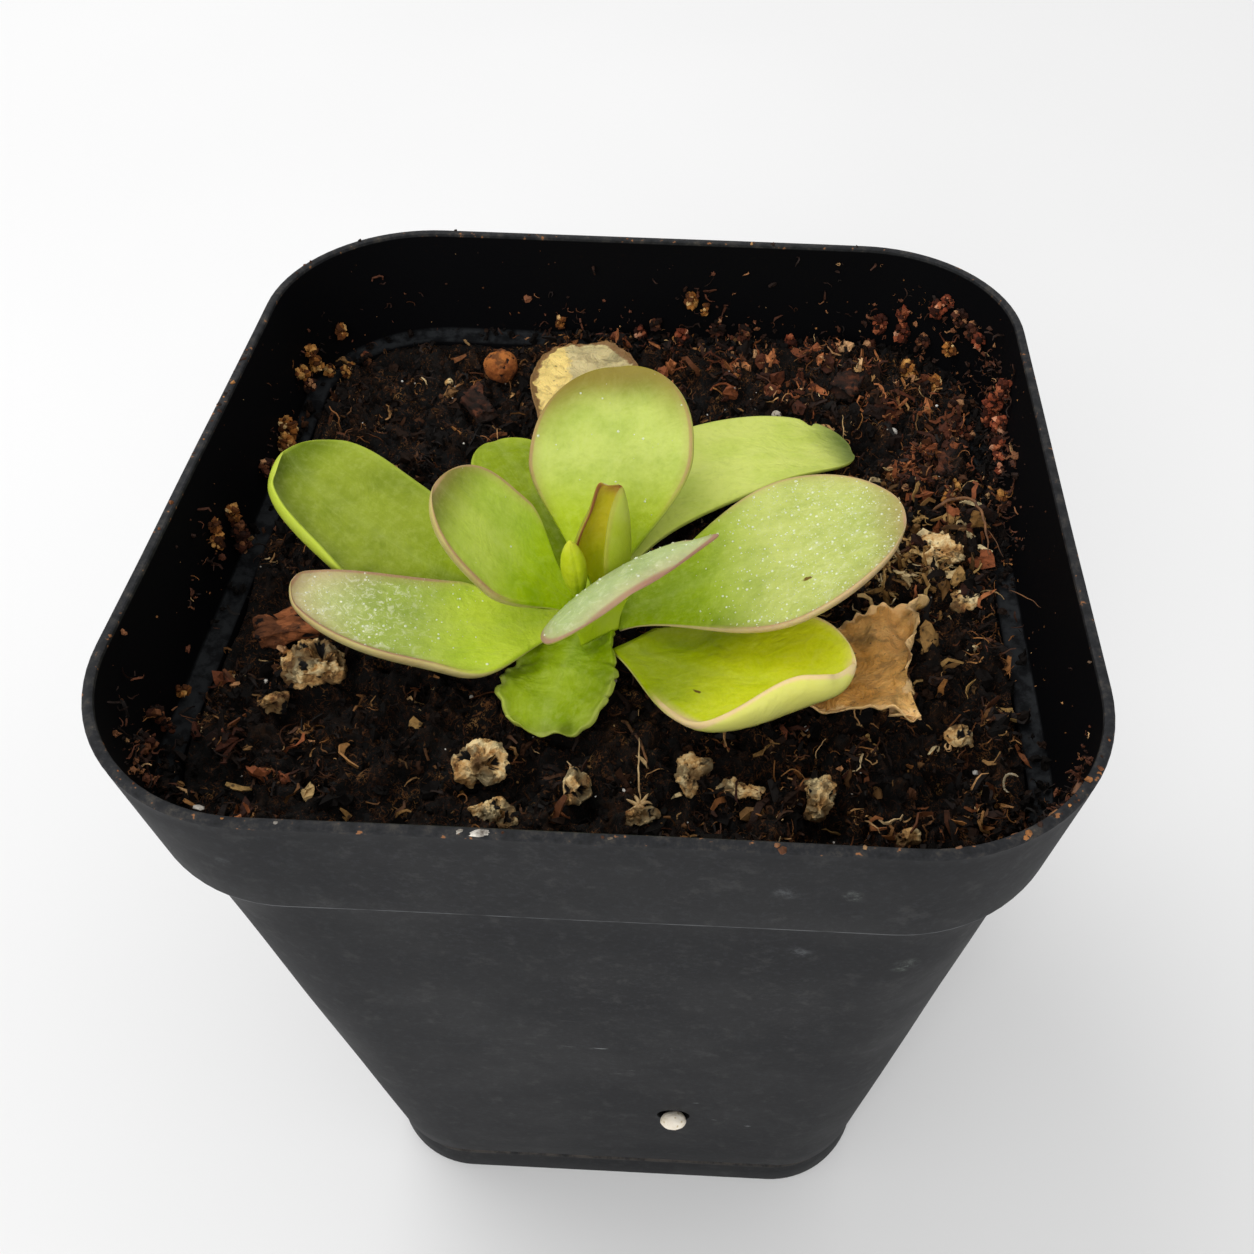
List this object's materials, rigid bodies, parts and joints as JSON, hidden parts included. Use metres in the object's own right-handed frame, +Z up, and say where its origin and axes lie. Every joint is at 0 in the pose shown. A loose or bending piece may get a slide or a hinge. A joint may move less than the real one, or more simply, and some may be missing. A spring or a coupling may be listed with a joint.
{
  "type": "potted butterwort",
  "caption": "Low rosette of fleshy butterwort leaves growing in dark peaty mix in a tapered square nursery pot.",
  "frame": {"origin": "middle of the pot's underside, on the surface the pot stands on", "axes": "+Z up; -Y towards the pot's front wall, the one with the small side hole; +X to the right seen from the front"},
  "size_m": [0.09, 0.09, 0.1041],
  "materials": {
    "pot_plastic": "satin",
    "growing_mix": "matte",
    "leaf": "satin",
    "dead_leaf": "matte",
    "crown": "matte",
    "root": "matte",
    "pumice": "matte",
    "bark": "matte",
    "clay": "matte",
    "perlite": "matte",
    "twig": "matte"
  },
  "bodies": {
    "root": {"bark_chip_1": "bark", "bark_chip_2": "bark", "bark_chip_3": "bark", "bark_chip_4": "bark", "clay_pellet": "clay", "crown_stem": "crown", "dead_leaf_back": "dead_leaf", "dead_leaf_right": "dead_leaf", "growing_mix": "growing_mix", "leaf_back": "leaf", "leaf_back_right": "leaf", "leaf_behind_left": "leaf", "leaf_bud": "leaf", "leaf_front": "leaf", "leaf_front_right": "leaf", "leaf_lower_left": "leaf", "leaf_mid_left": "leaf", "leaf_raised_front": "leaf", "leaf_right": "leaf", "leaf_upper_left": "leaf", "leaf_young_folded": "leaf", "perlite_1": "perlite", "perlite_2": "perlite", "perlite_3": "perlite", "perlite_4": "perlite", "perlite_in_hole": "perlite", "pot": "pot_plastic", "pumice_01": "pumice", "pumice_02": "pumice", "pumice_03": "pumice", "pumice_04": "pumice", "pumice_05": "pumice", "pumice_06": "pumice", "pumice_07": "pumice", "pumice_08": "pumice", "pumice_09": "pumice", "pumice_10": "pumice", "pumice_11": "pumice", "pumice_12": "pumice", "pumice_13": "pumice", "root_1": "root", "root_2": "root", "root_3": "root", "root_4": "root", "root_5": "root", "twig_front": "twig", "twig_right": "twig"}
  },
  "joints": []
}
